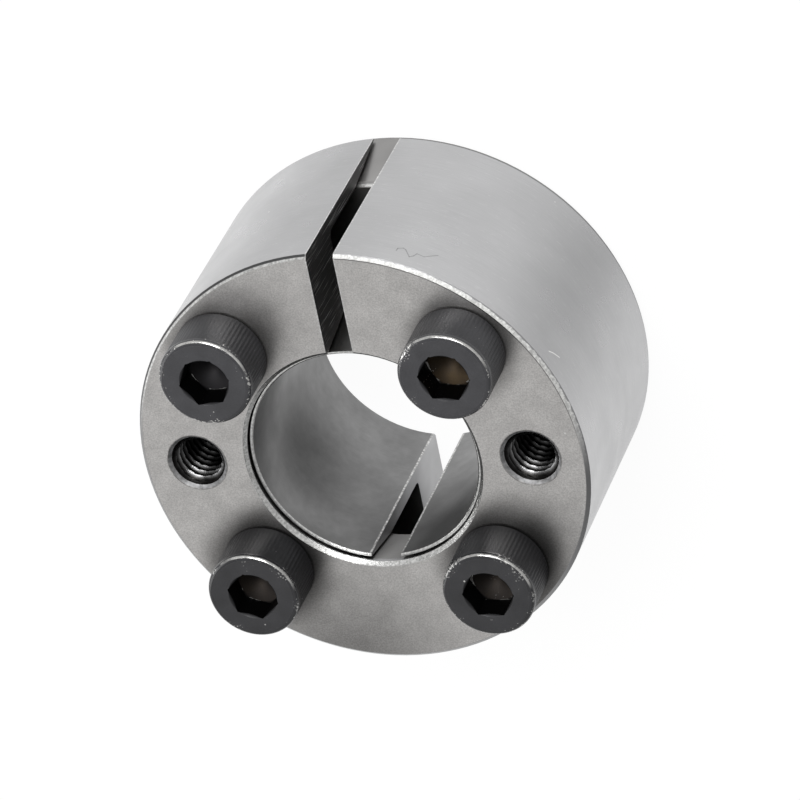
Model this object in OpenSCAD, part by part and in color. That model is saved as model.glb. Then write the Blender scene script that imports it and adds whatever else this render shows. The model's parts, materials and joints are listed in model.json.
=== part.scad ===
// Keyless locking assembly: two slit rings with matching tapers, drawn together by four
// socket head cap screws so that the inner ring grips a shaft and the outer ring fills a hub.
// It stands on its back end. The axis is Z, the back end is at Z = 0 and the screws point up.

/* [Fit] */
// Diameter of the shaft that the inner ring clamps
bore_d = 25; // [22:0.5:26]
// Distance from the wall of the bore out to the axis of a screw
screw_inset = 6.3; // [6:0.1:8]
// Front face left between a screw head and the outside
face_land = 1.1; // [0.8:0.1:3]
// Length of the outer ring along the axis
ring_l = 26; // [24:0.5:32]

/* [Tapers] */
// Half angle of both pairs of tapers, in degrees
taper_angle = 10; // [8:0.5:11]
// Radial gap between the tapers before the screws are tightened
taper_gap = 0.25; // [0.2:0.05:0.4]

/* [Outer ring] */
// Thickness of the front wall that carries the screw heads
front_wall = 8; // [7:0.5:9]
// Thickness of the jacket round the cavity
jacket_wall = 1.6; // [1.4:0.1:2]
// Thickness of the jacket at its back end, where the taper runs out
lip_wall = 0.12; // [0.1:0.02:0.2]
// Fillet in the corner behind the front wall
cavity_fillet = 0.8; // [0.4:0.1:1.2]
// Width of the slit at twelve o'clock
outer_slit_w = 3; // [2:0.25:4]
// Chamfer of the outside at the front face
outside_chamfer = 0.4; // [0.2:0.1:0.8]
// Chamfer of the outside at the back end
lip_chamfer = 0.05; // [0.03:0.01:0.08]
// Chamfer of the central hole at the front face
mouth_chamfer = 0.4; // [0.2:0.1:0.6]

/* [Inner ring] */
// How far the flange stands out behind the outer ring until the screws draw it in
back_proud = 0.6; // [0.4:0.1:0.8]
// Length of the flange that the screws pull on
flange_l = 8; // [7:0.5:9]
// Wall of the sleeve between the flange and the nose
sleeve_wall = 1.5; // [1.2:0.1:1.8]
// Wall left at the rim of the nose
rim_wall = 0.3; // [0.25:0.05:0.5]
// Depth of the nose rim below the front face
rim_setback = 1; // [0.8:0.1:2]
// Width of the slit at six o'clock
inner_slit_w = 3.4; // [2:0.2:4]
// Chamfer of the flange at its front edge
flange_chamfer = 0.5; // [0.2:0.1:0.8]
// Broken edge of the flange at the back end
back_chamfer = 0.1; // [0.05:0.05:0.2]
// Fillet between the flange and the sleeve
sleeve_fillet = 0.6; // [0.3:0.1:1]
// Chamfer of the bore at the back end
bore_chamfer = 0.4; // [0.2:0.1:0.8]
// Chamfer of the bore at the nose rim
rim_chamfer = 0.12; // [0.05:0.01:0.15]

/* [Clamp screws] */
// Thread diameter of the screws and of every tapped hole
thread_d = 6; // [5:0.5:6]
// Diameter of the screw heads
head_d = 10.2; // [9:0.1:10.6]
// Height of the screw heads
head_h = 6; // [5:0.25:7]
// Chamfer round the top of a head
head_chamfer = 0.45; // [0.2:0.05:0.7]
// Chamfer round the underside of a head
seat_chamfer = 0.25; // [0.1:0.05:0.4]
// Width of the hexagon socket across its flats
socket_af = 5; // [4:0.25:5.5]
// Depth of the hexagon socket
socket_depth = 3; // [2:0.25:3.5]
// Chamfer round the mouth of the socket
socket_chamfer = 0.2; // [0.1:0.05:0.3]
// Length of the chamfer at the screw tip
tip_chamfer = 0.8; // [0.4:0.1:1]
// Distance of the screw tips from the back end
tip_setback = 1; // [0.5:0.25:2]
// Play between a screw and its clearance hole, on the diameter
hole_play = 0.6; // [0.4:0.1:0.8]
// Play between a screw and its tapped hole, on the diameter
thread_play = 0.1; // [0.05:0.01:0.15]
// Countersink round the mouth of a tapped hole
countersink = 0.35; // [0.2:0.05:0.5]

/* [Hidden] */
$fn = 120;
// Number of clamp screws and the angle of the first, seen from the front
screw_n = 4;
first_screw = 45;
// Angles of the two tapped holes that take jacking screws
jack_angles = [0, 180];
// Angles at which the loose screws happen to have been left
socket_turns = [-5, 6, -18, -2];
// Angles of the slits in the two rings
outer_slit_angle = 90;
inner_slit_angle = 270;
// How far a cut runs past the face that it leaves
over = 1;
// Number of straight steps along a fillet
fillet_steps = 8;
// Angle of the drill point at the bottom of a socket, from its axis
drill_half_angle = 60;

slope = tan(taper_angle);
bore_r = bore_d / 2;
face_z = back_proud + ring_l;
thread_r = thread_d / 2;
head_r = head_d / 2;

// The screws lie round the bore, and the outside lies round their heads: it fills a 50 mm hub
screw_circle_r = bore_r + screw_inset;
outside_r = screw_circle_r + head_r + face_land;

// The nose taper of the inner ring starts at the sleeve and ends at the rim
rim_z = face_z - rim_setback;
rim_r = bore_r + rim_wall;
sleeve_r = bore_r + sleeve_wall;
nose_z = rim_z - (sleeve_r - rim_r) / slope;

// The central hole of the outer ring lies round the nose taper, clear by the gap
wall_z = face_z - front_wall;
function hole_r(z) = rim_r + taper_gap + (rim_z - z) * slope;

// The back taper opens towards the back end, in the jacket and on the flange
lip_r = outside_r - lip_wall;
cavity_r = outside_r - jacket_wall;
cavity_z = back_proud + (lip_r - cavity_r) / slope;
function flange_r(z) = lip_r - taper_gap - (z - back_proud) * slope;

// Places a child at the circle of the screws, at an angle seen from the front
module on_circle(angle) {
  rotate([0, 0, angle])
    translate([screw_circle_r, 0, 0])
      children();
}

// Places a child at each clamp screw
module each_screw() {
  for (i = [0 : screw_n - 1])
    on_circle(first_screw + i * 360 / screw_n) children();
}

// A cut through one side of a ring, from the axis outwards
module slit(angle, width) {
  rotate([0, 0, angle])
    translate([0, -width / 2, -over])
      cube([outside_r + over, width, face_z + 2 * over]);
}

// A hole through a wall from Z = 0 to Z = depth, countersunk at the end named
module tapped_hole(depth, top) {
  translate([0, 0, -over])
    cylinder(h = depth + 2 * over, d = thread_d);
  mouth_z = top ? depth - countersink : -over;
  wide = thread_r + countersink;
  low_r = top ? thread_r : wide + over;
  high_r = top ? wide + over : thread_r;
  translate([0, 0, mouth_z])
    cylinder(h = countersink + over, r1 = low_r, r2 = high_r);
}

// Section of the outer ring: front wall, jacket with its cavity, and the thin back lip
module outer_section() {
  mouth_z = face_z - mouth_chamfer;
  fillet = [
    for (i = [0 : fillet_steps])
      let (a = 90 - i * 90 / fillet_steps)
        [
          cavity_r - cavity_fillet + cavity_fillet * cos(a),
          wall_z - cavity_fillet + cavity_fillet * sin(a)
        ]
  ];
  polygon(concat(
    [
      [outside_r - outside_chamfer, face_z],
      [hole_r(mouth_z) + mouth_chamfer, face_z],
      [hole_r(mouth_z), mouth_z],
      [hole_r(wall_z), wall_z]
    ],
    fillet,
    [
      [cavity_r, cavity_z],
      [lip_r, back_proud],
      [outside_r - lip_chamfer, back_proud],
      [outside_r, back_proud + lip_chamfer],
      [outside_r, face_z - outside_chamfer]
    ]
  ));
}

// Section of the inner ring: tapered flange, plain sleeve and tapered nose
module inner_section() {
  edge_z = flange_l - flange_chamfer;
  fillet = [
    for (i = [0 : fillet_steps])
      let (a = 270 - i * 90 / fillet_steps)
        [
          sleeve_r + sleeve_fillet + sleeve_fillet * cos(a),
          flange_l + sleeve_fillet + sleeve_fillet * sin(a)
        ]
  ];
  polygon(concat(
    [
      [bore_r + bore_chamfer, 0],
      [flange_r(back_chamfer) - back_chamfer, 0],
      [flange_r(back_chamfer), back_chamfer],
      [flange_r(edge_z), edge_z],
      [flange_r(edge_z) - flange_chamfer, flange_l]
    ],
    fillet,
    [
      [sleeve_r, nose_z],
      [rim_r, rim_z],
      [bore_r + rim_chamfer, rim_z],
      [bore_r, rim_z - rim_chamfer],
      [bore_r, bore_chamfer]
    ]
  ));
}

// Half section of a cap screw, with its seat at Z = 0 and its tip pointing down
module screw_section() {
  shank_r = thread_r - thread_play / 2;
  shank_l = face_z - tip_setback;
  polygon([
    [0, -shank_l],
    [shank_r - tip_chamfer, -shank_l],
    [shank_r, tip_chamfer - shank_l],
    [shank_r, 0],
    [head_r - seat_chamfer, 0],
    [head_r, seat_chamfer],
    [head_r, head_h - head_chamfer],
    [head_r - head_chamfer, head_h],
    [0, head_h]
  ]);
}

// Hexagon socket, with its chamfered mouth at Z = 0 and a drill point at the bottom
module socket() {
  flat_r = socket_af / 2;
  corner_r = flat_r / cos(30);
  translate([0, 0, -socket_depth])
    cylinder(h = socket_depth + over, r = corner_r, $fn = 6);
  translate([0, 0, -socket_depth - flat_r / tan(drill_half_angle)])
    cylinder(h = flat_r / tan(drill_half_angle), r1 = 0, r2 = flat_r);
  translate([0, 0, -socket_chamfer])
    cylinder(h = socket_chamfer + over, r1 = flat_r, r2 = flat_r + socket_chamfer + over);
}

// One cap screw, seated on the front face
module clamp_screw(i) {
  color("#3a3a3c")
    on_circle(first_screw + (i - 1) * 360 / screw_n)
      translate([0, 0, face_z])
        rotate([0, 0, socket_turns[i - 1] - first_screw - (i - 1) * 360 / screw_n])
          difference() {
            rotate_extrude() screw_section();
            translate([0, 0, head_h]) socket();
          }
}

module outer_ring() {
  color("#b9bab8")
    difference() {
      rotate_extrude() outer_section();
      slit(outer_slit_angle, outer_slit_w);
      translate([0, 0, wall_z - over])
        each_screw()
          cylinder(h = front_wall + 2 * over, d = thread_d + hole_play);
      for (angle = jack_angles)
        on_circle(angle)
          translate([0, 0, wall_z])
            tapped_hole(front_wall, true);
    }
}

module inner_ring() {
  color("#a3a4a3")
    difference() {
      rotate_extrude() inner_section();
      slit(inner_slit_angle, inner_slit_w);
      each_screw() tapped_hole(flange_l, false);
    }
}

module clamp_screw_1() { clamp_screw(1); }
module clamp_screw_2() { clamp_screw(2); }
module clamp_screw_3() { clamp_screw(3); }
module clamp_screw_4() { clamp_screw(4); }

outer_ring();
inner_ring();
clamp_screw_1();
clamp_screw_2();
clamp_screw_3();
clamp_screw_4();
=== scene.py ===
"""Dresses the packed locking assembly: worn steel rings, threads, socket head cap screws and a white studio."""

import json
import math

import bpy
import numpy as np
from bpy.props import FloatProperty, FloatVectorProperty, IntProperty, PointerProperty
from mathutils import Matrix, Vector


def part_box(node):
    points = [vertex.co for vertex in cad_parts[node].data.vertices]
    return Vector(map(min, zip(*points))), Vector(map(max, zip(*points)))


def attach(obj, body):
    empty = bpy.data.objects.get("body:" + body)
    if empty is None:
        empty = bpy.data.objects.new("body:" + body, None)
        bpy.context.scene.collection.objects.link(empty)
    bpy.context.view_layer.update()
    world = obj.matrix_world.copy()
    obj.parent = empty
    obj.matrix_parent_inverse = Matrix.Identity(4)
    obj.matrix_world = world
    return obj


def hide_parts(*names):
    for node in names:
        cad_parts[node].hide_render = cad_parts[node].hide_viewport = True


bl_info = {
    "name": "Locking Assembly Dresser",
    "version": (1, 0, 0),
    "blender": (4, 5, 0),
    "location": "3D View > Sidebar > Locking Assembly",
    "description": "Finishes the rings, cuts the threads and builds the cap screws of a locking assembly",
    "category": "Add Mesh",
}

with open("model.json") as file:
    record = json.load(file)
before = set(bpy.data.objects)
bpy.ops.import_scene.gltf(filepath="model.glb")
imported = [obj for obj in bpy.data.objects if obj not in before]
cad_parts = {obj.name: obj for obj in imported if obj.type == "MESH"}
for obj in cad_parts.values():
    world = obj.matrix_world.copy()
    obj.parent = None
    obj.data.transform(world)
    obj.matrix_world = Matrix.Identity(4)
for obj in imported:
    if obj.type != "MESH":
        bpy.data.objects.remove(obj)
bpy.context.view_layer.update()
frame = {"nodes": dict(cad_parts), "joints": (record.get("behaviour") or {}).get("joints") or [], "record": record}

MM = 0.001
TURN = 2 * math.pi
# Edges between faces that meet at more than this are shaded sharp
SHARP_EDGE = math.radians(32)
# Beyond every place on the part in metres and every mark, for masks that are open on one side
FAR = 2.0
# How far the sleeve of a thread stops short of the wall's inner face
SHORT = 0.03 * MM
# Nearly all values of Blender's noise lie between these two
NOISE_LOW, NOISE_HIGH = 0.32, 0.68
WHITE = (1.0, 1.0, 1.0, 1.0)
# Radii in millimetres of the outside, of the bore and of the circle of the screws, and the first screw's angle
OUTSIDE = 25
BORE = 12.5
SCREW_CIRCLE = 18.8
FIRST_SCREW = 45

SCREWS = ("clamp_screw_1", "clamp_screw_2", "clamp_screw_3", "clamp_screw_4")
SEATS = {joint["child"]: joint["pos_m"] for joint in frame["joints"] if joint["child"] in SCREWS}
JACKS = [mount for mount in frame["record"]["mounts"] if mount["name"] in ("jack_thread_1", "jack_thread_2")]
THREAD_RADIUS = JACKS[0]["dims"]["r_mm"] * MM


def linear(code):
    """Linear colour of an sRGB hex code such as #8090A0."""
    parts = [int(code[i:i + 2], 16) / 255 for i in (1, 3, 5)]
    return tuple(c / 12.92 if c <= 0.04045 else ((c + 0.055) / 1.055) ** 2.4 for c in parts)


def rgba(colour):
    """The colour with full opacity, as a shader socket takes it."""
    return (*colour, 1.0)


def colour_property(name, description, code):
    """Property for a colour, from its sRGB hex code."""
    return FloatVectorProperty(
        name=name, description=description, subtype="COLOR", size=3, min=0, max=1, default=linear(code))


def length_property(name, description, millimetres):
    """Property for a length, which Blender holds in metres."""
    return FloatProperty(name=name, description=description, unit="LENGTH", default=millimetres * MM)


class RingLook(bpy.types.PropertyGroup):
    """Colours and marks of the two steel rings."""

    ground: colour_property("Ground outside", "Bare steel as the grinding wheel leaves it", "#B7B7B8")
    face: colour_property("Turned face", "Fine-grained front face of the outer ring", "#C7C5C3")
    turned: colour_property(
        "Turned surfaces", "Flange and tapers of the inner ring, and the hollow of the outer ring", "#969594")
    cut: colour_property("Cut slit", "Clean walls of the slit in the inner ring", "#AEAEAF")
    # The bore colour is darker than the turned steel as painted shade inside the bore
    bore: colour_property("Bore", "Smooth bore of the inner ring under a film of oil", "#898989")
    broken_edge: colour_property("Broken edge", "Freshly cut metal on chamfers and burrs", "#F4F4F2")
    sawn: colour_property("Sawn slit", "Dark walls of the slit in the outer ring", "#6C6B6B")
    # Also the colour of painted shade in thread roots and along the gap at the back edge, and of the darkened
    # countersinks; the dark hairlines are real
    grime_and_shade: colour_property("Grime", "Oil and dust in thread roots and round the screw heads", "#201F1E")
    outer_slit: length_property("Outer slit", "Width of the slit in the outer ring", 3.0)
    inner_slit: length_property("Inner slit", "Width of the slit in the inner ring", 3.4)
    outside_chamfer: length_property("Outside chamfer", "Chamfer of the outside at the front face", 0.4)
    mouth_radius: length_property("Mouth radius", "Radius of the central hole just below its chamfer", 12.944)
    mouth_chamfer: length_property("Mouth chamfer", "Chamfer of the central hole at the front face", 0.4)
    bore_radius: length_property("Bore radius", "Radius of the bore", BORE)
    flange: length_property("Flange", "Thickness of the flange at the back of the inner ring", 8.0)
    burr: length_property("Burr", "Width of the bright burr along a sawn edge", 0.14)
    grit: length_property("Face grain", "Size of the grain on the front face", 0.16)


class ThreadSizes(bpy.types.PropertyGroup):
    """Sizes of the M6 threads, in the holes and on the screws."""

    pitch: length_property("Pitch", "Advance of the thread in one turn", 1.0)
    depth: length_property("Depth", "Depth of the thread groove", 0.55)
    crest: FloatProperty(
        name="Crest", description="Width of the flat at the outer diameter, as a share of the pitch",
        default=0.14, min=0.05, max=0.3)
    countersink: length_property("Countersink", "Depth of the countersink at the mouth of a tapped hole", 0.35)
    flange: length_property("Flange", "Thickness of the flange that the clamp screws pull on", 8.0)


class ScrewSizes(bpy.types.PropertyGroup):
    """Sizes and colours of the socket head cap screws."""

    ridges: IntProperty(
        name="Knurl ridges", description="Number of straight ridges round a head",
        default=70, min=12, max=90)
    ridge_depth: length_property(
        "Knurl depth", "Depth of the grooves between the ridges where they are clean", 0.08)
    rim_round: length_property("Rim round", "Radius of the rounded top edge of a head", 0.5)
    socket_width: length_property("Socket width", "Width of the hexagon socket across its flats", 5.0)
    socket_depth: length_property("Socket depth", "Depth of the straight part of the socket", 3.0)
    socket_mouth: length_property("Socket mouth", "Radius of the conical chamfer at the mouth of the socket", 2.76)
    turns: FloatVectorProperty(
        name="Socket turns", description="Angle at which each socket was left",
        subtype="EULER", size=4, default=[math.radians(a) for a in (-5, 6, -18, -2)])
    oxide: colour_property("Black oxide", "Blackened high-tensile steel", "#252527")
    # Also the colour of the painted highlights on the rim and the socket ledge
    bare_steel_and_glint: colour_property("Bare steel", "Steel where the oxide has worn through", "#D8D7D4")
    oil: colour_property("Oil film", "Brown film of old oil inside the sockets", "#4A3F31")


class StudioSettings(bpy.types.PropertyGroup):
    """Camera, lamps and floor."""

    camera_place: FloatVectorProperty(
        name="Camera place", description="Where the camera stands, from the centre of the back end",
        subtype="XYZ", unit="LENGTH", size=3, default=(0.20162, 0.29253, 0.51545))
    camera_target: FloatVectorProperty(
        name="Camera target", description="Point in the middle of the picture",
        subtype="XYZ", unit="LENGTH", size=3, default=(0.00039, -0.00033, 0.01349))
    camera_up: FloatVectorProperty(
        name="Camera up", description="Direction that is up in the picture",
        subtype="XYZ", size=3, default=(0.0172, 0.8606, -0.5090))
    focal_length: FloatProperty(
        name="Focal length", description="Focal length on a sensor 36 mm wide, in millimetres",
        default=255.6, min=20, max=500)
    floor_colour: colour_property("Floor", "White paper sweep", "#F7F7F7")
    floor_size: FloatProperty(
        name="Floor size", description="Side of the square floor",
        unit="LENGTH", default=4.0)
    shadow: FloatProperty(
        name="Shadow", description="How much of the floor's own shading shows under the white",
        subtype="FACTOR", default=0.05, min=0, max=1)
    key_power: FloatProperty(
        name="Key power", description="Power of the large softbox above the front",
        unit="POWER", default=9.0, min=0)
    fill_power: FloatProperty(
        name="Fill power", description="Power of the softbox on the left",
        unit="POWER", default=2.5, min=0)
    ceiling: FloatProperty(
        name="Ceiling", description="Brightness of the studio straight above",
        default=0.62, min=0, max=1)
    left: FloatProperty(
        name="Left wall", description="Brightness of the studio at the horizon on the left",
        default=0.66, min=0, max=1)
    right: FloatProperty(
        name="Right wall", description="Brightness of the studio at the horizon on the right",
        default=0.26, min=0, max=1)
    under: FloatProperty(
        name="Paper in steel", description="How white the paper shows in the steel; the rest is its own shading",
        subtype="FACTOR", default=0.75, min=0, max=1)


def add(tree, kind, sockets=None, **settings):
    """Adds one node. Settings are its properties; sockets gives an input a value or the output that feeds it."""
    node = tree.nodes.new(kind)
    for name, value in settings.items():
        setattr(node, name, value)
    for key, value in (sockets or {}).items():
        if isinstance(value, bpy.types.NodeSocket):
            tree.links.new(value, node.inputs[key])
        else:
            node.inputs[key].default_value = value
    return node


def new_material(name):
    """An empty material: the material, its node tree and its shader, which is already on the output."""
    material = bpy.data.materials.new(name)
    material.use_nodes = True
    tree = material.node_tree
    tree.nodes.clear()
    shader = add(tree, "ShaderNodeBsdfPrincipled", {"Metallic": 1.0})
    add(tree, "ShaderNodeOutputMaterial", {"Surface": shader.outputs["BSDF"]})
    return material, tree, shader


def mottle(tree, vector, size, low, high, detail=2.0):
    """Uneven tone whose patches measure size metres and run from low to high."""
    noise = add(tree, "ShaderNodeTexNoise", {"Vector": vector, "Scale": 1 / size, "Detail": detail})
    spread = add(tree, "ShaderNodeMapRange", {0: noise.outputs["Fac"], 1: NOISE_LOW, 2: NOISE_HIGH, 3: low, 4: high})
    return spread.outputs[0]


def between(tree, value, low, high, soft):
    """1 where value lies between low and high, falling to 0 over soft on either side."""
    rise = add(tree, "ShaderNodeMapRange", {0: value, 1: low - soft, 2: low + soft},
               interpolation_type="SMOOTHSTEP")
    fall = add(tree, "ShaderNodeMapRange", {0: value, 1: high - soft, 2: high + soft, 3: 1.0, 4: 0.0},
               interpolation_type="SMOOTHSTEP")
    both = add(tree, "ShaderNodeMath", {0: rise.outputs[0], 1: fall.outputs[0]}, operation="MULTIPLY")
    return both.outputs[0]


def overlap(tree, *masks):
    """1 only where all the masks are: their product."""
    product = masks[0]
    for mask in masks[1:]:
        product = add(tree, "ShaderNodeMath", {0: product, 1: mask}, operation="MULTIPLY").outputs[0]
    return product


def layered(tree, kind, base, *layers):
    """Colour or value with layers laid over it in turn; a layer is a mask and what shows where the mask is 1."""
    low, high, out = {"RGBA": (6, 7, 2), "FLOAT": (2, 3, 0)}[kind]
    for mask, top in layers:
        base = add(tree, "ShaderNodeMix", {0: mask, low: base, high: top}, data_type=kind).outputs[out]
    return base


def painted_shade_patch(tree, place, centre, reach, strength, length=1.0):
    """Painted shade: a tone of 1 that dips by strength at the centre and is back to 1 at reach, length times farther
    along the axis.
    """
    away = add(tree, "ShaderNodeVectorMath", {0: place["position"], 1: centre}, operation="SUBTRACT")
    away = add(tree, "ShaderNodeVectorMath", {0: away.outputs[0], 1: (1.0, 1.0, 1 / length)}, operation="MULTIPLY")
    away = add(tree, "ShaderNodeVectorMath", {0: away.outputs[0]}, operation="LENGTH")
    dip = add(tree, "ShaderNodeMapRange", {0: away.outputs["Value"], 1: 0.0, 2: reach, 3: 1 - strength, 4: 1.0},
              interpolation_type="SMOOTHSTEP")
    return dip.outputs[0]


def on_ring(radius, degrees, height):
    """Point on a round surface from its radius and height in millimetres and its angle seen from the front."""
    turn = math.radians(degrees)
    return (radius * math.cos(turn) * MM, radius * math.sin(turn) * MM, height * MM)


def stroke(tree, place, start, end, width):
    """One straight scratch on the outside, between two points given as degrees and height in millimetres."""
    first = Vector((math.radians(start[0]) * OUTSIDE * MM, start[1] * MM, 0.0))
    along = Vector((math.radians(end[0]) * OUTSIDE * MM, end[1] * MM, 0.0)) - first
    unrolled = add(tree, "ShaderNodeCombineXYZ", {0: place["arc"], 1: place["z"]}).outputs[0]
    away = add(tree, "ShaderNodeVectorMath", {0: unrolled, 1: first}, operation="SUBTRACT").outputs[0]
    share = add(tree, "ShaderNodeVectorMath", {0: away, 1: along / along.length_squared}, operation="DOT_PRODUCT")
    share = add(tree, "ShaderNodeMath", {0: share.outputs["Value"], 1: 1.0}, operation="MULTIPLY", use_clamp=True)
    foot = add(tree, "ShaderNodeVectorMath", {0: along, "Scale": share.outputs[0]}, operation="SCALE").outputs[0]
    gap = add(tree, "ShaderNodeVectorMath", {0: away, 1: foot}, operation="DISTANCE").outputs["Value"]
    mark = add(tree, "ShaderNodeMapRange", {0: gap, 1: 0.4 * width, 2: width, 3: 1.0, 4: 0.0})
    return mark.outputs[0]


def specks(tree, position, spacing, size):
    """Small round chips, about spacing apart and size across; 1 on a chip."""
    cells = add(tree, "ShaderNodeTexVoronoi", {"Vector": position, "Scale": 1 / spacing})
    share = size / 2 / spacing
    chip = add(tree, "ShaderNodeMapRange", {0: cells.outputs["Distance"], 1: 0.6 * share, 2: share, 3: 1.0, 4: 0.0})
    return chip.outputs[0]


def ring_places(tree):
    """Where a point of a ring lies: x, y, z, size of x, distance from the axis and arc length round it."""
    position = add(tree, "ShaderNodeTexCoord").outputs["Object"]
    xyz = add(tree, "ShaderNodeSeparateXYZ", {0: position}).outputs
    flat = add(tree, "ShaderNodeVectorMath", {0: position, 1: (1.0, 1.0, 0.0)}, operation="MULTIPLY")
    radius = add(tree, "ShaderNodeVectorMath", {0: flat.outputs[0]}, operation="LENGTH").outputs["Value"]
    side = add(tree, "ShaderNodeMath", {0: xyz[0]}, operation="ABSOLUTE").outputs[0]
    angle = add(tree, "ShaderNodeMath", {0: xyz[1], 1: xyz[0]}, operation="ARCTAN2").outputs[0]
    arc = add(tree, "ShaderNodeMath", {0: angle, 1: OUTSIDE * MM}, operation="MULTIPLY").outputs[0]
    return {"position": position, "x": xyz[0], "y": xyz[1], "z": xyz[2],
            "side": side, "radius": radius, "arc": arc}


def turning_lines(tree, place, spacing, length, low, high):
    """Fine lines round the ring, spacing apart along the axis and radius, and about length long."""
    along = add(tree, "ShaderNodeMath", {0: place["arc"], 1: spacing / length}, operation="MULTIPLY")
    across = add(tree, "ShaderNodeMath", {0: place["z"], 1: place["radius"]}, operation="ADD")
    lines = add(tree, "ShaderNodeCombineXYZ", {0: along.outputs[0], 1: across.outputs[0]})
    return mottle(tree, lines.outputs[0], spacing, low, high)


def scratches(tree, place, turn, width, length, cut):
    """A few short straight scratches on the outside, turned from the circumference; 1 on a scratch."""
    unrolled = add(tree, "ShaderNodeCombineXYZ", {0: place["arc"], 1: place["z"]})
    turned = add(tree, "ShaderNodeMapping",
                 {"Vector": unrolled.outputs[0], "Rotation": (0.0, 0.0, turn), "Scale": (1 / length, 1 / width, 1.0)})
    noise = add(tree, "ShaderNodeTexNoise", {"Vector": turned.outputs[0], "Scale": 1.0, "Detail": 0.0})
    found = add(tree, "ShaderNodeMapRange", {0: noise.outputs["Fac"], 1: cut, 2: cut + 0.02})
    return found.outputs[0]


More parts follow.
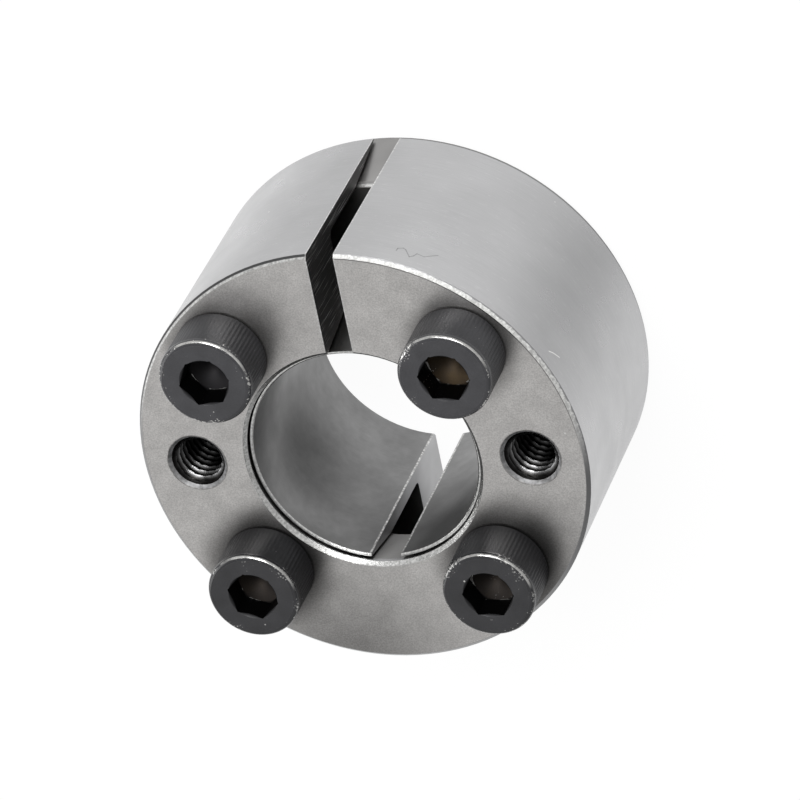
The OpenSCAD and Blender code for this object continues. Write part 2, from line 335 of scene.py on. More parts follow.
def ground_and_turned_steel(look):
    """Bearing steel of the outer ring.

    The ground outside is satin and faintly clouded, with two broad darker bands of painted
    shade that stand for shade it reflects. The turned face is grained and mirrors the black heads
    softly, with painted shade round the heads and towards its lower side. The chamfers are bright
    where they were broken with a file, lighter on the upper right and darker on top as painted light
    and shade; a painted shadow line runs along the back edge there, and the saw left the slit dark.
    The grinding lines, 0.14 mm apart, the grain of 0.16 mm and the saw lines, 0.12 mm wide, are
    drawn coarser than real ones, which are too fine to show.
    """
    material, tree, shader = new_material("ground_and_turned_steel")
    place = ring_places(tree)
    low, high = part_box("outer_ring")
    face_z = high.z
    outside = high.x

    on_face = between(tree, place["z"], face_z - 0.03 * MM, FAR, 0.015 * MM)
    on_outside = between(tree, place["radius"], outside - 0.04 * MM, FAR, 0.02 * MM)
    outwards, inwards = (
        add(tree, "ShaderNodeMath", {0: place["z"], 1: place["radius"]}, operation=operation).outputs[0]
        for operation in ("ADD", "SUBTRACT"))
    corner = face_z + outside - look.outside_chamfer
    on_chamfer = between(tree, outwards, corner - 0.03 * MM, FAR, 0.02 * MM)
    mouth = face_z - look.mouth_chamfer - look.mouth_radius
    on_mouth_chamfer = between(tree, inwards, mouth - 0.02 * MM, FAR, 0.02 * MM)
    above_axis = between(tree, place["y"], 0.0, FAR, 0.1 * MM)
    wall = look.outer_slit / 2
    in_slit = overlap(tree, between(tree, place["side"], -FAR, wall + 0.01 * MM, 0.01 * MM), above_axis)
    torn = mottle(tree, place["position"], 0.25 * MM, 0.0, 1.0)
    on_burr = overlap(tree, between(tree, place["side"], wall, wall + look.burr, 0.03 * MM), above_axis, torn)

    clouds = mottle(tree, place["position"], 9 * MM, 0.96, 1.04)
    lines = turning_lines(tree, place, 0.14 * MM, 5 * MM, 0.965, 1.035)
    # Painted shade: two broad darker bands on the outside, at 28 and 101 degrees, stand for the shade it reflects
    outside_tone = overlap(
        tree, clouds, lines,
        painted_shade_patch(tree, place, on_ring(OUTSIDE, 28, 10), 11 * MM, 0.30, 4.0),
        painted_shade_patch(tree, place, on_ring(OUTSIDE, 101, 14), 13 * MM, 0.16, 3.0))
    grain = mottle(tree, place["position"], look.grit, 0.84, 1.16, 3.0)
    blotches = mottle(tree, place["position"], 2.4 * MM, 0.93, 1.07)
    folded = add(tree, "ShaderNodeVectorMath", {0: place["position"]}, operation="ABSOLUTE").outputs[0]
    from_screw, from_jack = (
        add(tree, "ShaderNodeVectorMath", {0: folded, 1: on_ring(SCREW_CIRCLE, turn, face_z / MM)},
            operation="DISTANCE").outputs["Value"]
        for turn in (FIRST_SCREW, 0))
    # Painted shade round the heads on the face: deeper round the lower heads than the upper ones, and reaching farther
    upper, lower = (
        add(tree, "ShaderNodeMapRange", {0: from_screw, 1: 5.0 * MM, 2: reach, 3: darkest, 4: 1.0},
            interpolation_type="SMOOTHSTEP").outputs[0]
        for reach, darkest in ((7.2 * MM, 0.60), (8.6 * MM, 0.25)))
    painted_head_shade = layered(tree, "FLOAT", lower, (above_axis, upper))
    countersunk = between(tree, from_jack, 2.8 * MM, 3.36 * MM, 0.02 * MM)
    ring_mark = overlap(tree, between(tree, from_jack, 3.36 * MM, 3.42 * MM, 0.03 * MM),
                        mottle(tree, place["position"], 0.8 * MM, 0.1, 0.9))
    # Painted shade: the face darker towards its lower side and to the right of the lower right head
    face_tone = overlap(
        tree, grain, blotches, painted_head_shade,
        painted_shade_patch(tree, place, (-6 * MM, -26 * MM, face_z), 18 * MM, 0.55),
        painted_shade_patch(tree, place, (20 * MM, -13 * MM, face_z), 10 * MM, 0.30))
    tone = layered(tree, "FLOAT", outside_tone, (on_face, face_tone))
    inside = overlap(tree, between(tree, place["radius"], -FAR, outside - 0.05 * MM, 0.02 * MM),
                     between(tree, place["z"], -FAR, face_z - 1.0 * MM, 0.05 * MM))

    # A dark hairline and a bright stroke, as degrees round the outside and height in millimetres
    hair = [(72.3, 23.9), (72.2, 23.4), (71.0, 23.1), (70.3, 23.3), (68.7, 24.4), (67.9, 24.0), (67.4, 23.4),
            (65.5, 23.5), (62.7, 22.3)]
    ground, grime_and_shade = rgba(look.ground), rgba(look.grime_and_shade)
    colour = layered(tree, "RGBA", ground, (inside, rgba(look.turned)), (on_face, rgba(look.face)))
    for start, end in zip(hair, hair[1:]):
        dark = overlap(tree, stroke(tree, place, start, end, 0.08 * MM), on_outside, 0.4)
        colour = layered(tree, "RGBA", colour, (dark, grime_and_shade))
    faint = overlap(tree, scratches(tree, place, 0.5, 0.09 * MM, 1.3 * MM, 0.76), on_outside, 0.22)
    chips = overlap(tree, specks(tree, place["position"], 5.5 * MM, 0.26 * MM), 0.8)
    bent = [(27.3, 24.15), (26.1, 23.7), (23.9, 23.15)]
    strokes = [overlap(tree, stroke(tree, place, start, end, 0.09 * MM), on_outside)
               for start, end in zip(bent, bent[1:])]
    colour = layered(tree, "RGBA", colour, *((mark, rgba(look.broken_edge)) for mark in [faint, chips, *strokes]))
    toned = add(tree, "ShaderNodeVectorMath", {0: colour, "Scale": tone}, operation="SCALE").outputs[0]

    bright = mottle(tree, place["position"], 0.3 * MM, 0.55, 1.0)
    even = mottle(tree, place["position"], 0.3 * MM, 0.55, 0.88)
    fresh, file_cut, deep_shaded_grey, half_shaded_grey = (
        add(tree, "ShaderNodeVectorMath", {0: metal, "Scale": share}, operation="SCALE").outputs[0]
        for metal, share in ((look.broken_edge, bright), (look.broken_edge, even), (look.ground, 0.22),
                             (look.ground, 0.5)))
    ragged = mottle(tree, place["position"], 0.6 * MM, -0.05 * MM, 0.05 * MM)
    upper_part = add(tree, "ShaderNodeMath", {0: place["z"], 1: ragged}, operation="ADD").outputs[0]
    right = overlap(tree, between(tree, place["x"], 1.0 * MM, FAR, 1.5 * MM),
                    between(tree, place["y"], 2.0 * MM, FAR, 5.0 * MM))
    filed = overlap(tree, right, between(tree, upper_part, face_z - 0.30 * MM, FAR, 0.02 * MM))
    top_part = between(tree, place["y"], 7 * MM, FAR, 5 * MM)
    thin = overlap(tree, top_part, between(tree, place["z"], face_z - 0.19 * MM, FAR, 0.04 * MM))
    # Painted light and shade on the outside chamfer: half-toned steel round most of it, darker on its top part and full
    # steel on the upper right; the thin bright line on top and the filed part on the right are wear
    chamfer = layered(tree, "RGBA", half_shaded_grey, (top_part, deep_shaded_grey), (thin, fresh), (right, ground), (filed, file_cut))
    face_edge = outside - look.outside_chamfer
    inner_line = overlap(tree, between(tree, place["radius"], face_edge - 0.14 * MM, FAR, 0.03 * MM),
                         on_face, right, 0.6)
    # Painted shadow of the gap behind the back edge on the upper right, as a dark line on the outside; inner_line
    # darkens a thin line along the face's edge there
    gap_shadow_line = overlap(tree, on_outside, between(tree, place["z"], -FAR, low.z + 0.22 * MM, 0.05 * MM), right, 0.6)
    # The countersinks of the jacking holes darkened in patches
    darkened_countersink = overlap(tree, countersunk, mottle(tree, place["position"], 0.5 * MM, 0.2, 0.65))
    toned = layered(tree, "RGBA", toned, (inner_line, grime_and_shade), (gap_shadow_line, grime_and_shade), (darkened_countersink, grime_and_shade),
                    (on_chamfer, chamfer), (on_mouth_chamfer, fresh), (on_burr, fresh), (ring_mark, grime_and_shade))

    saw_place = add(tree, "ShaderNodeMapping",
                    {"Vector": place["position"], "Rotation": (math.radians(38), 0.0, 0.0),
                     "Scale": (1.0, 1 / (0.12 * MM), 1 / (6 * MM))})
    saw_noise = add(tree, "ShaderNodeTexNoise", {"Vector": saw_place.outputs[0], "Scale": 1.0, "Detail": 1.0})
    saw_lines = add(tree, "ShaderNodeMapRange", {0: saw_noise.outputs["Fac"], 1: 0.60, 2: 0.70}).outputs[0]
    sawn = layered(tree, "RGBA", rgba(look.sawn), (saw_lines, rgba(look.broken_edge)))
    toned = layered(tree, "RGBA", toned, (in_slit, sawn))
    tree.links.new(toned, shader.inputs["Base Color"])

    satin = mottle(tree, place["position"], 5 * MM, 0.27, 0.36)
    chamfer_rough = layered(tree, "FLOAT", 0.30, (filed, 0.62))
    roughness = layered(tree, "FLOAT", satin, (on_face, 0.33), (countersunk, 0.55), (on_chamfer, chamfer_rough),
                        (on_mouth_chamfer, 0.26), (in_slit, 0.5))
    tree.links.new(roughness, shader.inputs["Roughness"])

    relief = layered(tree, "FLOAT", overlap(tree, lines, 0.4), (on_face, grain))
    bump = add(tree, "ShaderNodeBump", {"Height": relief, "Strength": 0.30, "Distance": 0.02 * MM})
    tree.links.new(bump.outputs[0], shader.inputs["Normal"])
    return material


def fine_turned_steel(look):
    """Bearing steel of the inner ring: a smooth bore darkened with painted shade, and bright broken edges.

    The turning lines, 0.12 mm apart, are drawn coarser than real ones, which are too fine to show.
    """
    material, tree, shader = new_material("fine_turned_steel")
    place = ring_places(tree)
    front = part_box("inner_ring")[1].z

    below_axis = between(tree, place["y"], -FAR, 0.0, 0.1 * MM)
    wall = look.inner_slit / 2
    in_bore = between(tree, place["radius"], -FAR, look.bore_radius + 0.05 * MM, 0.02 * MM)
    torn = mottle(tree, place["position"], 0.3 * MM, 0.2, 1.0)
    on_burr = overlap(tree, between(tree, place["side"], wall, wall + 1.6 * look.burr, 0.03 * MM),
                      below_axis, in_bore, torn)
    on_rim = between(tree, place["z"], front - 0.14 * MM, FAR, 0.02 * MM)
    on_flange_edge = overlap(
        tree, between(tree, place["z"], look.flange - 0.30 * MM, look.flange - 0.06 * MM, 0.03 * MM),
        between(tree, place["radius"], 20 * MM, FAR, 0.1 * MM))

    clouds = mottle(tree, place["position"], 6 * MM, 0.88, 1.12)
    lines = turning_lines(tree, place, 0.12 * MM, 6 * MM, 0.97, 1.03)
    stains = mottle(tree, place["position"], 1.1 * MM, 0.93, 1.07, 4.0)
    # Painted shade in the bore: three broad darker patches
    tone = overlap(
        tree, clouds, lines, stains,
        painted_shade_patch(tree, place, on_ring(BORE, -160, 15), 13 * MM, 0.74),
        painted_shade_patch(tree, place, on_ring(BORE, 175, 25), 7 * MM, 0.50),
        painted_shade_patch(tree, place, on_ring(BORE, -58, 20), 14 * MM, 0.80))
    tone = layered(tree, "FLOAT", clouds, (in_bore, tone))
    in_slit = overlap(tree, between(tree, place["side"], -FAR, wall + 0.01 * MM, 0.01 * MM), below_axis)
    colour = layered(tree, "RGBA", rgba(look.turned), (in_bore, rgba(look.bore)), (in_slit, rgba(look.cut)))
    toned = add(tree, "ShaderNodeVectorMath", {0: colour, "Scale": tone}, operation="SCALE").outputs[0]
    bright = mottle(tree, place["position"], 0.3 * MM, 0.6, 1.0)
    fresh = add(tree, "ShaderNodeVectorMath", {0: look.broken_edge, "Scale": bright}, operation="SCALE").outputs[0]
    toned = layered(tree, "RGBA", toned, (on_burr, fresh), (on_rim, fresh), (on_flange_edge, fresh))
    tree.links.new(toned, shader.inputs["Base Color"])

    satin = mottle(tree, place["position"], 5 * MM, 0.28, 0.38)
    roughness = layered(tree, "FLOAT", satin, (on_rim, 0.24))
    tree.links.new(roughness, shader.inputs["Roughness"])
    bump = add(tree, "ShaderNodeBump", {"Height": lines, "Strength": 0.25, "Distance": 0.01 * MM})
    tree.links.new(bump.outputs[0], shader.inputs["Normal"])
    return material


def tapped_steel(look):
    """Tapped thread: bright crests over roots darkened towards black, painted shade of the grooves with old cutting
    oil, and painted shade that deepens with depth.
    """
    material, tree, shader = new_material("tapped_steel")
    position = add(tree, "ShaderNodeTexCoord").outputs["Object"]
    crest = add(tree, "ShaderNodeAttribute", attribute_name="crest").outputs["Fac"]
    depth = add(tree, "ShaderNodeAttribute", attribute_name="depth").outputs["Fac"]
    # Painted shade: clean keeps steel on the crests over roots darkened with old oil, and fade darkens the thread
    # deeper in the hole
    clean = add(tree, "ShaderNodeMath", {0: crest, 1: 4.0}, operation="POWER").outputs[0]
    colour = layered(tree, "RGBA", rgba(look.grime_and_shade), (clean, rgba(look.ground)))
    fade = add(tree, "ShaderNodeMapRange", {0: depth, 1: 0.0, 2: 0.8, 3: 0.9, 4: 0.03}).outputs[0]
    tone = overlap(tree, mottle(tree, position, 0.5 * MM, 0.6, 1.1), fade)
    toned = add(tree, "ShaderNodeVectorMath", {0: colour, "Scale": tone}, operation="SCALE").outputs[0]
    tree.links.new(toned, shader.inputs["Base Color"])
    tear = mottle(tree, position, 0.12 * MM, 0.0, 1.0)
    bump = add(tree, "ShaderNodeBump", {"Height": tear, "Strength": 0.3, "Distance": 0.02 * MM})
    tree.links.new(bump.outputs[0], shader.inputs["Normal"])
    shader.inputs["Roughness"].default_value = 0.26
    return material


def black_oxide_steel(sizes):
    """Blackened high-tensile steel, lightly oiled: satin black and worn along the rim of the head, with painted
    highlights on the rim and the socket ledge, painted shade on the socket walls, and painted light on the upper heads
    and the right of the socket floors.
    """
    material, tree, shader = new_material("black_oxide_steel")
    position = add(tree, "ShaderNodeTexCoord").outputs["Object"]
    rim, socket, floor = (
        add(tree, "ShaderNodeAttribute", attribute_name=mark).outputs["Fac"] for mark in ("rim", "socket", "floor"))

    # Which of the four heads a point is on, and where on that head
    xyz = add(tree, "ShaderNodeSeparateXYZ", {0: position}).outputs
    upper = between(tree, xyz[1], 0.0, FAR, 1 * MM)
    right = between(tree, xyz[0], 0.0, FAR, 1 * MM)
    quarter = add(tree, "ShaderNodeVectorMath", {0: position}, operation="SIGN").outputs[0]
    middle = add(tree, "ShaderNodeVectorMath", {0: quarter, 1: on_ring(SCREW_CIRCLE, FIRST_SCREW, 0)},
                 operation="MULTIPLY").outputs[0]
    local = add(tree, "ShaderNodeVectorMath", {0: position, 1: middle}, operation="SUBTRACT").outputs[0]
    sideways = add(tree, "ShaderNodeSeparateXYZ", {0: local}).outputs[0]

    # Painted light: faded makes the upper heads 1.7 times lighter than the lower ones
    faded = layered(tree, "FLOAT", 1.0, (upper, 1.7))
    tone = overlap(tree, mottle(tree, position, 3 * MM, 0.85, 1.15), mottle(tree, position, 0.15 * MM, 0.9, 1.1),
                   faded)
    # Painted shade: deep darkens the socket walls to 0.35 of the oxide
    black, deep, bottom = (
        add(tree, "ShaderNodeVectorMath", {0: sizes.oxide, "Scale": share}, operation="SCALE").outputs[0]
        for share in (tone, 0.35, 1.5))
    oiled = layered(tree, "FLOAT", 0.3, (upper, 0.05), (overlap(tree, upper, right), 0.75))
    film = overlap(tree, oiled, mottle(tree, position, 2 * MM, 0.7, 1.3))
    dust = layered(tree, "RGBA", bottom, (film, rgba(sizes.oil)))
    # Painted light: clear makes the socket floors lighter towards the right, over the oil film
    clear = add(tree, "ShaderNodeMapRange", {0: sideways, 1: -1.6 * MM, 2: 1.6 * MM, 3: 0.4, 4: 1.15}).outputs[0]
    dust = add(tree, "ShaderNodeVectorMath", {0: dust, "Scale": clear}, operation="SCALE").outputs[0]
    black = layered(tree, "RGBA", black, (socket, deep), (floor, dust))

    fine = add(tree, "ShaderNodeTexNoise", {"Vector": position, "Scale": 1 / (0.22 * MM), "Detail": 3.0})
    patch = mottle(tree, position, 3 * MM, -0.16, 0.13)
    line = add(tree, "ShaderNodeMapRange", {0: rim, 1: 0.78, 2: 0.84, 3: 0.0, 4: 0.10},
               interpolation_type="SMOOTHSTEP").outputs[0]
    reach = add(tree, "ShaderNodeMath", {0: rim, 1: 0.18, 2: patch}, operation="MULTIPLY_ADD").outputs[0]
    score = fine.outputs["Fac"]
    for wear in (reach, line):
        score = add(tree, "ShaderNodeMath", {0: score, 1: wear}, operation="ADD").outputs[0]
    worn = add(tree, "ShaderNodeMapRange", {0: score, 1: 0.80, 2: 0.86}).outputs[0]
    worn = overlap(tree, worn, layered(tree, "FLOAT", 0.5, (upper, 1.0)))
    # Painted highlight: a bright arc on the rim on the side that faces 68 degrees
    facing = add(tree, "ShaderNodeVectorMath", {0: local, 1: (0.375, 0.927, 0.0)}, operation="DOT_PRODUCT")
    painted_rim_highlight = overlap(tree, between(tree, facing.outputs["Value"], 3.2 * MM, FAR, 0.9 * MM),
                     between(tree, rim, 0.80, FAR, 0.015), mottle(tree, position, 0.7 * MM, 0.25, 1.0))
    # Painted highlight: a broken bright line on the ledge at the foot of the socket wall
    painted_ledge_glint = overlap(tree, between(tree, floor, 0.15, 0.85, 0.05), mottle(tree, position, 1.6 * MM, -1.0, 0.9))
    chip = overlap(tree, specks(tree, position, 3.2 * MM, 0.28 * MM), 0.9)
    # worn gathers the real wear and chips together with the painted highlights
    for mark in (painted_rim_highlight, painted_ledge_glint, chip):
        worn = add(tree, "ShaderNodeMath", {0: worn, 1: mark}, operation="MAXIMUM").outputs[0]
    colour = layered(tree, "RGBA", black, (worn, rgba(sizes.bare_steel_and_glint)))
    tree.links.new(colour, shader.inputs["Base Color"])

    satin = mottle(tree, position, 1.2 * MM, 0.34, 0.46)
    flank = between(tree, xyz[2], -FAR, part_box(SCREWS[0])[1].z - 0.6 * MM, 0.1 * MM)
    metallic = layered(tree, "FLOAT", 0.0, (flank, 0.45), (socket, 1.0), (worn, 1.0))
    tree.links.new(metallic, shader.inputs["Metallic"])
    polished = between(tree, rim, 0.6, FAR, 0.04)
    roughness = layered(tree, "FLOAT", satin, (flank, 0.5), (socket, 0.6), (polished, 0.17), (worn, 0.28))
    tree.links.new(roughness, shader.inputs["Roughness"])
    rough_skin = layered(tree, "FLOAT", 0.3, (polished, 0.05))
    bump = add(tree, "ShaderNodeBump",
               {"Height": fine.outputs["Fac"], "Strength": rough_skin, "Distance": 0.02 * MM})
    tree.links.new(bump.outputs[0], shader.inputs["Normal"])
    shader.inputs["Specular IOR Level"].default_value = 0.45
    return material


def round_points(axis, angles, radius, height):
    """Point = axis + (radius cos angle, radius sin angle, height), for grids with a row per profile step."""
    x = axis[0] + radius * np.cos(angles)
    y = axis[1] + radius * np.sin(angles)
    return np.stack([x, y, np.broadcast_to(height, x.shape)], axis=-1).reshape(-1, 3)


def band_faces(rows, columns, first=0, closed=False):
    """Quads between neighbouring rows of a round grid; closed joins the last row to the first."""
    number = first + np.arange(rows * columns).reshape(rows, columns)
    below = number if closed else number[:-1]
    above = np.roll(number, -1, axis=0) if closed else number[1:]
    quads = [below, np.roll(below, -1, axis=1), np.roll(above, -1, axis=1), above]
    return np.stack(quads, axis=-1).reshape(-1, 4)


def fan_faces(ring, pole):
    """Triangles from each side of a ring of vertices to one pole vertex."""
    return np.stack([ring, np.roll(ring, -1), np.full_like(ring, pole)], axis=-1)


def stitch_faces(few, many):
    """Triangles between a ring of few vertices and a ring of a whole multiple as many around it."""
    share = len(many) // len(few)
    inner = np.repeat(few, share)
    step = np.tile(np.arange(share), len(few))
    inner = np.where(step < (share + 1) // 2, inner, np.roll(inner, -share))
    fans = np.stack([inner, np.roll(many, -1), many], axis=-1)
    middle = many[(share + 1) // 2::share]
    gaps = np.stack([few, np.roll(few, -1), middle], axis=-1)
    return np.concatenate([fans, gaps])


def thread_radius(angles, height, major, sizes):
    """Right-hand V thread: the radius falls from major by the depth, at 30 degrees to the cross section,
    with the distance of height / pitch - angle / turn from the nearest whole number."""
    phase = height / sizes.pitch - angles / TURN
    distance = np.abs(phase - np.round(phase))
    flank = sizes.depth * math.tan(math.radians(30)) / sizes.pitch
    return major - sizes.depth * np.clip((distance - sizes.crest / 2) / flank, 0, 1)


def make_piece(name, points, faces, material, body, marks=None):
    """Puts points and faces into a mesh object that rides on a body; marks are values for each vertex."""
    mesh = bpy.data.meshes.new(name)
    mesh.from_pydata(points.tolist(), [], [face for block in faces for face in block.tolist()])
    for mark, values in (marks or {}).items():
        attribute = mesh.attributes.new(mark, "FLOAT", "POINT")
        attribute.data.foreach_set("value", values.astype(np.float32))
    mesh.polygons.foreach_set("use_smooth", np.ones(len(mesh.polygons), bool))
    mesh.set_sharp_from_angle(angle=SHARP_EDGE)
    mesh.materials.append(material)
    mesh.validate()
    piece = bpy.data.objects.new(name, mesh)
    bpy.context.scene.collection.objects.link(piece)
    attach(piece, body)
    return piece


def thread_liner(axis, low, high, mouth_up, radius, sizes):
    """Thread inside a tapped hole, as a closed sleeve let into the wall.

    The inner wall is the larger of the thread and of the countersink, a cone that narrows by its
    depth from the mouth; the outer wall is a plain cylinder just inside the metal.
    """
    columns = 96
    rows_per_turn = 16
    # How far the sleeve reaches into the metal and its roots stand clear of it, and at what depth its painted shade is
    # darkest
    skin = 0.05 * MM
    clearance = 0.012 * MM
    darkest = 4.5 * MM
    steps = int(round((high - low) / sizes.pitch * rows_per_turn))
    angles = np.arange(columns) * TURN / columns
    height = np.linspace(high, low, steps + 1)[:, None]
    root = radius - clearance
    depth = (high - height) if mouth_up else (height - low)
    inner = np.maximum(thread_radius(angles, height, root, sizes), root - depth)
    outer = np.full((2, columns), radius + skin)
    wall = np.array([[low], [high]])
    points = np.concatenate([round_points(axis, angles, outer, wall), round_points(axis, angles, inner, height)])
    hidden = np.zeros(2 * columns)
    marks = {
        "crest": np.concatenate([hidden, np.clip((root - inner) / sizes.depth, 0, 1).ravel()]),
        "depth": np.concatenate([hidden, np.clip(depth / darkest + 0 * angles, 0, 1).ravel()]),
    }
    return points, [band_faces(steps + 3, columns, closed=True)], marks


def hexagon_radius(angles, width):
    """Distance from the centre to a hexagon's side at each angle, with a corner at angle 0."""
    sixth = math.radians(60)
    return width / 2 / np.cos((angles % sixth) - sixth / 2)


def cap_screw(axis, seat, top, tip, head_radius, thread_r, turn, sizes, thread):
    """Socket head cap screw as one closed surface.

    Shank: radius = the smaller of the thread and of a 45 degree cone at the tip. Head: a profile
    turned round the axis, with straight V grooves cut into its side, a quarter round at the rim, and
    a socket whose wall is the hexagon's radius and whose mouth is the larger of hexagon and cone.
    The grooves' depth swings twice round the head with the cosine, because old oil fills some.
    """
    # How deep one groove is at each of its columns, as a share of the whole depth
    groove = [0.0, 0.0, 0.6, 1.0, 0.6]
    rows_per_turn = 12
    shank_columns = sizes.ridges
    head_columns = sizes.ridges * len(groove)
    major = thread_r - 0.06 * MM
    neck = major - 0.04 * MM
    tip_radius = thread_r - 0.85 * MM
    neck_fillet = 0.25 * MM
    run_out = 0.4 * MM
    seat_chamfer = 0.25 * MM
    rim_reach = 1.3 * MM

    angles = turn + np.arange(shank_columns) * TURN / shank_columns
    thread_top = seat - neck_fillet - run_out
    steps = int(round((thread_top - tip) / thread.pitch * rows_per_turn))
    height = np.linspace(tip, thread_top, steps + 1)[:, None]
    cut = np.minimum(thread_radius(angles, height, major, thread), tip_radius + height - tip)
    fade = np.linspace(0, 1, 5)[1:, None]
    fade_height = thread_top + fade * run_out
    faded = thread_radius(angles, fade_height, major, thread) * (1 - fade) + neck * fade
    curve = np.linspace(0, math.pi / 2, 5)[1:, None]
    fillet_height = seat - neck_fillet * (1 - np.sin(curve))
    fillet = neck + neck_fillet * (1 - np.cos(curve)) + 0 * angles
    shank_radius = np.concatenate([cut, faded, fillet])
    shank_height = np.concatenate([height, fade_height, fillet_height])
    shank = round_points(axis, angles, shank_radius, shank_height)
    shank_rows = len(shank_radius)

    angles = turn + np.arange(head_columns) * TURN / head_columns
    clean = 0.58 - 0.42 * np.cos(2 * (angles - math.radians(85)))
    ridge = np.tile(groove, sizes.ridges) * sizes.ridge_depth * clean
    height_of_head = top - seat
    side_high = height_of_head - sizes.rim_round
    # Heights of the rows of the side on a head of 6 mm, and how fully the grooves are cut at each
    side = np.array([0.35, 0.55, 1.2, 2.4, 3.6, 4.8, 5.05, 5.25]) / 6.0 * height_of_head
    bite = np.array([0.0, 1.0, 1.0, 1.0, 1.0, 1.0, 0.7, 0.0])
    arc = np.linspace(0, math.pi / 2, 8)
    under = np.array([[neck + neck_fillet + 0.25 * MM, 0.0], [head_radius - seat_chamfer, 0.0],
                      [head_radius, seat_chamfer]])
    rim = np.stack([head_radius - sizes.rim_round * (1 - np.cos(arc)),
                    side_high + sizes.rim_round * np.sin(arc)], axis=1)
    land = np.array([[head_radius - 0.7 * MM, height_of_head], [0.74 * head_radius, height_of_head],
                     [0.62 * head_radius, height_of_head]])

    corner = hexagon_radius(angles - turn, sizes.socket_width)
    mouth = np.maximum(corner, sizes.socket_mouth)
    # The mouth drops a little at the corners of the hexagon too, or faces there would have no area
    mouth_drop = np.maximum(sizes.socket_mouth - corner, 0.02 * MM)
    floor_depth = sizes.socket_depth
    drill = sizes.socket_width / 2 - 0.05 * MM
    cone = drill / math.tan(math.radians(60))
    flat = np.ones(head_columns)

    # Radius and height of each row, from the seat over side, rim and land down into the socket
    profile = [
        (under[:, :1], under[:, 1:]), (head_radius - bite[:, None] * ridge, side[:, None]),
        (rim[:, :1], rim[:, 1:]), (land[:, :1], land[:, 1:]), (mouth, height_of_head),
        (corner, height_of_head - mouth_drop), (corner, height_of_head - 0.6 * floor_depth),
        (corner, height_of_head - floor_depth), (drill, height_of_head - floor_depth),
        (0.4 * drill, height_of_head - (floor_depth + 0.6 * cone))]
    head_r, head_z = (np.concatenate([np.atleast_2d(part * flat) for part in parts]) for parts in zip(*profile))
    head_z += seat
    head = round_points(axis, angles, head_r, head_z)
    head_rows = len(head_r)

    poles = np.array([[axis[0], axis[1], tip], [axis[0], axis[1], top - floor_depth - cone]])
    points = np.concatenate([shank, head, poles])
    head_first = len(shank)
    tip_pole = head_first + len(head)
    faces = [
        band_faces(shank_rows, shank_columns),
        fan_faces(np.arange(shank_columns), tip_pole)[:, ::-1],
        stitch_faces(np.arange(head_first - shank_columns, head_first),
                     np.arange(head_first, head_first + head_columns))[:, ::-1],
        band_faces(head_rows, head_columns, head_first),
        fan_faces(np.arange(tip_pole - head_columns, tip_pole), tip_pole + 1),
    ]
    plain = np.zeros(len(shank))
    away = np.hypot(head_r - head_radius, head_z - top)
    marks = {"rim": np.concatenate([plain, np.clip(1 - away / rim_reach, 0, 1).ravel(), np.zeros(2)])}
    # The last five rows lie in the socket, the last two of them on its floor, with the second pole
    for mark, rows in (("socket", 5), ("floor", 2)):
        marked = np.arange(head_rows)[:, None] * flat >= head_rows - rows
        marks[mark] = np.concatenate([plain, marked.ravel().astype(float), [0.0, 1.0]])
    return points, faces, marks


class LOCKING_OT_outer_ring(bpy.types.Operator):
    """Gives the outer ring its ground, turned and sawn finish"""

    bl_idname = "locking.outer_ring"
    bl_label = "Finish Outer Ring"

    def execute(self, context):
        node = frame["nodes"]["outer_ring"]
        node.material_slots[0].material = ground_and_turned_steel(context.scene.ring_look)
        return {"FINISHED"}


class LOCKING_OT_inner_ring(bpy.types.Operator):
    """Gives the inner ring its fine turned finish"""

    bl_idname = "locking.inner_ring"
    bl_label = "Finish Inner Ring"

    def execute(self, context):
        node = frame["nodes"]["inner_ring"]
        node.material_slots[0].material = fine_turned_steel(context.scene.ring_look)
        return {"FINISHED"}


class LOCKING_OT_threads(bpy.types.Operator):
    """Cuts the threads of the two jacking holes and of the four holes in the flange"""

    bl_idname = "locking.threads"
    bl_label = "Cut Threads"

    def execute(self, context):
        sizes = context.scene.thread_sizes
        material = tapped_steel(context.scene.ring_look)
        for mount in JACKS:
            half = mount["dims"]["length_mm"] * MM / 2
            low = mount["pos_m"][2] - half + SHORT
            high = mount["pos_m"][2] + half
            points, faces, marks = thread_liner(mount["pos_m"][:2], low, high, True, THREAD_RADIUS, sizes)
            make_piece(mount["name"], points, faces, material, "outer_ring", marks)
        high = sizes.flange - SHORT
        for screw, seat in SEATS.items():
            name = screw.replace("clamp_screw", "flange_thread")
            points, faces, marks = thread_liner(seat[:2], sizes.countersink, high, False, THREAD_RADIUS, sizes)
            make_piece(name, points, faces, material, "inner_ring", marks)
        return {"FINISHED"}


class LOCKING_OT_clamp_screws(bpy.types.Operator):
    """Builds the four socket head cap screws in place of the plain ones"""

    bl_idname = "locking.clamp_screws"
    bl_label = "Build Clamp Screws"

    def execute(self, context):
        sizes = context.scene.screw_sizes
        thread = context.scene.thread_sizes
        material = black_oxide_steel(sizes)
        for name, turn in zip(SCREWS, sizes.turns):
            low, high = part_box(name)
            seat = SEATS[name]
            head_radius = (high.x - low.x) / 2 - 0.001 * MM
            points, faces, marks = cap_screw(
                seat[:2], seat[2], high.z, low.z, head_radius, THREAD_RADIUS, turn, sizes, thread)
            piece = make_piece(name + "_detailed", points, faces, material, name, marks)
            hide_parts(name)
        return {"FINISHED"}


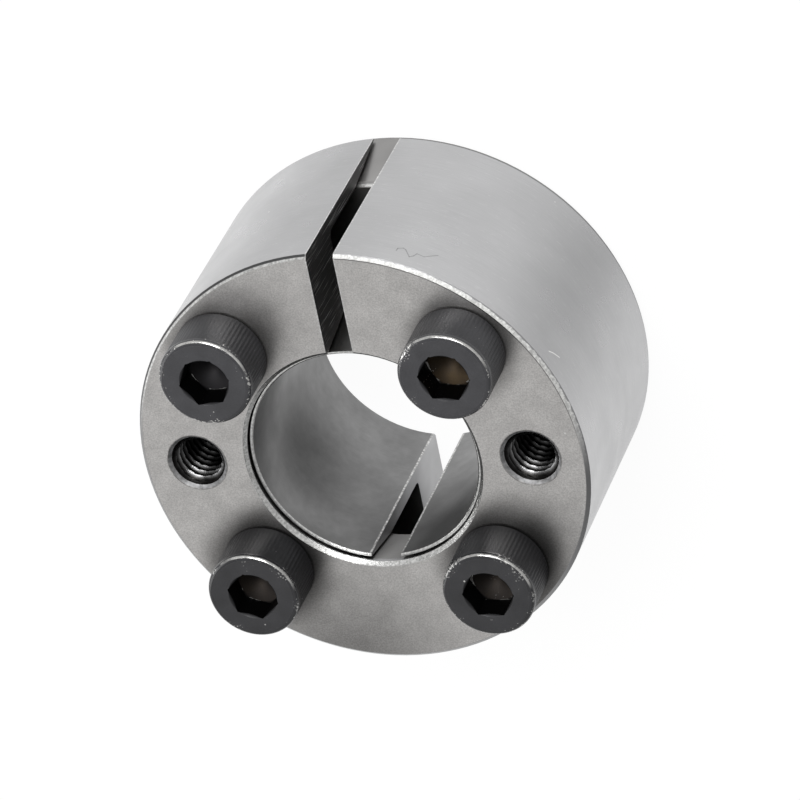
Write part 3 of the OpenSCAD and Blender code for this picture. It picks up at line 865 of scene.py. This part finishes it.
def paper_sweep(settings):
    """White paper: shown white to the camera and in reflections, with a share of its own shading left."""
    material, tree, shader = new_material("white_paper_sweep")
    shader.inputs["Metallic"].default_value = 0.0
    shader.inputs["Base Color"].default_value = rgba(settings.floor_colour)
    shader.inputs["Roughness"].default_value = 0.9
    path = add(tree, "ShaderNodeLightPath").outputs
    mirrored = add(tree, "ShaderNodeMath", {0: path["Is Glossy Ray"], 1: path["Is Transmission Ray"]},
                   operation="MAXIMUM").outputs[0]
    share = layered(tree, "FLOAT", 0.0, (mirrored, settings.under), (path["Is Camera Ray"], 1 - settings.shadow))
    white = add(tree, "ShaderNodeEmission", {"Color": WHITE, "Strength": 1.0})
    mix = add(tree, "ShaderNodeMixShader", {0: share, 1: shader.outputs[0], 2: white.outputs[0]})
    output = next(node for node in tree.nodes if node.type == "OUTPUT_MATERIAL")
    tree.links.new(mix.outputs[0], output.inputs["Surface"])
    return material


def studio_world(settings):
    """Studio round the object: bright on the left, darker on the right, and white where the camera looks."""
    world = bpy.data.worlds.new("studio")
    world.use_nodes = True
    tree = world.node_tree
    tree.nodes.clear()
    direction = add(tree, "ShaderNodeTexCoord").outputs["Generated"]
    xyz = add(tree, "ShaderNodeSeparateXYZ", {0: direction}).outputs
    walls = add(tree, "ShaderNodeMapRange", {0: xyz[0], 1: -1.0, 2: 1.0, 3: settings.left, 4: settings.right})
    up = add(tree, "ShaderNodeMapRange", {0: xyz[2], 1: 0.0, 2: 1.0}, interpolation_type="SMOOTHSTEP")
    path = add(tree, "ShaderNodeLightPath").outputs
    strength = layered(tree, "FLOAT", walls.outputs[0], (up.outputs[0], settings.ceiling), (path["Is Camera Ray"], 1.0))
    background = add(tree, "ShaderNodeBackground", {"Color": WHITE, "Strength": strength})
    add(tree, "ShaderNodeOutputWorld", {"Surface": background.outputs[0]})
    return world


def softbox(name, place, target, size, power):
    """Square area lamp at place that looks at target."""
    lamp = bpy.data.lights.new(name, "AREA")
    lamp.shape = "SQUARE"
    lamp.size = size
    lamp.energy = power
    holder = bpy.data.objects.new(name, lamp)
    holder.location = place
    holder.rotation_euler = (Vector(target) - Vector(place)).to_track_quat("-Z", "Y").to_euler()
    bpy.context.scene.collection.objects.link(holder)
    return holder


class LOCKING_OT_studio(bpy.types.Operator):
    """Sets up the white floor, the lamps and the camera"""

    bl_idname = "locking.studio"
    bl_label = "Set Up Studio"

    def execute(self, context):
        scene = context.scene
        settings = scene.studio_settings
        half = settings.floor_size / 2
        corners = [(-half, -half, 0.0), (half, -half, 0.0), (half, half, 0.0), (-half, half, 0.0)]
        mesh = bpy.data.meshes.new("floor")
        mesh.from_pydata(corners, [], [(0, 1, 2, 3)])
        mesh.materials.append(paper_sweep(settings))
        floor = bpy.data.objects.new("floor", mesh)
        scene.collection.objects.link(floor)

        target = Vector(settings.camera_target)
        softbox("key_softbox", (0.0, 0.55, 0.85), target, 0.5, settings.key_power)
        softbox("fill_softbox", (-0.8, -0.1, 0.5), target, 0.6, settings.fill_power)
        scene.world = studio_world(settings)

        camera = bpy.data.cameras.new("camera")
        camera.sensor_width = 36.0
        camera.lens = settings.focal_length
        camera.clip_start = 0.01
        camera.clip_end = 20.0
        holder = bpy.data.objects.new("camera", camera)
        place = Vector(settings.camera_place)
        back = (place - target).normalized()
        right = Vector(settings.camera_up).cross(back).normalized()
        up = back.cross(right)
        turned = Matrix((right, up, back)).transposed().to_4x4()
        holder.matrix_world = Matrix.Translation(place) @ turned
        scene.collection.objects.link(holder)
        scene.camera = holder
        scene.view_settings.view_transform = "Standard"
        return {"FINISHED"}


OPERATORS = (
    LOCKING_OT_outer_ring,
    LOCKING_OT_inner_ring,
    LOCKING_OT_threads,
    LOCKING_OT_clamp_screws,
    LOCKING_OT_studio,
)


class LOCKING_PT_sidebar(bpy.types.Panel):
    """Steps and sizes of the locking assembly"""

    bl_idname = "LOCKING_PT_sidebar"
    bl_label = "Locking Assembly"
    bl_space_type = "VIEW_3D"
    bl_region_type = "UI"
    bl_category = "Locking Assembly"

    def draw(self, context):
        for operator in OPERATORS:
            self.layout.operator(operator.bl_idname)
        for group in GROUPS:
            settings = getattr(context.scene, group)
            box = self.layout.box()
            box.label(text=settings.__doc__)
            for name in settings.bl_rna.properties.keys():
                if name not in {"rna_type", "name"}:
                    box.prop(settings, name)


GROUPS = {
    "ring_look": RingLook,
    "thread_sizes": ThreadSizes,
    "screw_sizes": ScrewSizes,
    "studio_settings": StudioSettings,
}


def register():
    for name, group in GROUPS.items():
        bpy.utils.register_class(group)
        setattr(bpy.types.Scene, name, PointerProperty(type=group))
    for operator in OPERATORS:
        bpy.utils.register_class(operator)
    bpy.utils.register_class(LOCKING_PT_sidebar)


def unregister():
    bpy.utils.unregister_class(LOCKING_PT_sidebar)
    for operator in reversed(OPERATORS):
        bpy.utils.unregister_class(operator)
    for name, group in GROUPS.items():
        delattr(bpy.types.Scene, name)
        bpy.utils.unregister_class(group)


def main():
    """Registers the add-on and runs its steps in order."""
    register()
    bpy.ops.locking.outer_ring()
    bpy.ops.locking.inner_ring()
    bpy.ops.locking.threads()
    bpy.ops.locking.clamp_screws()
    bpy.ops.locking.studio()


if __name__ == "__main__":
    main()
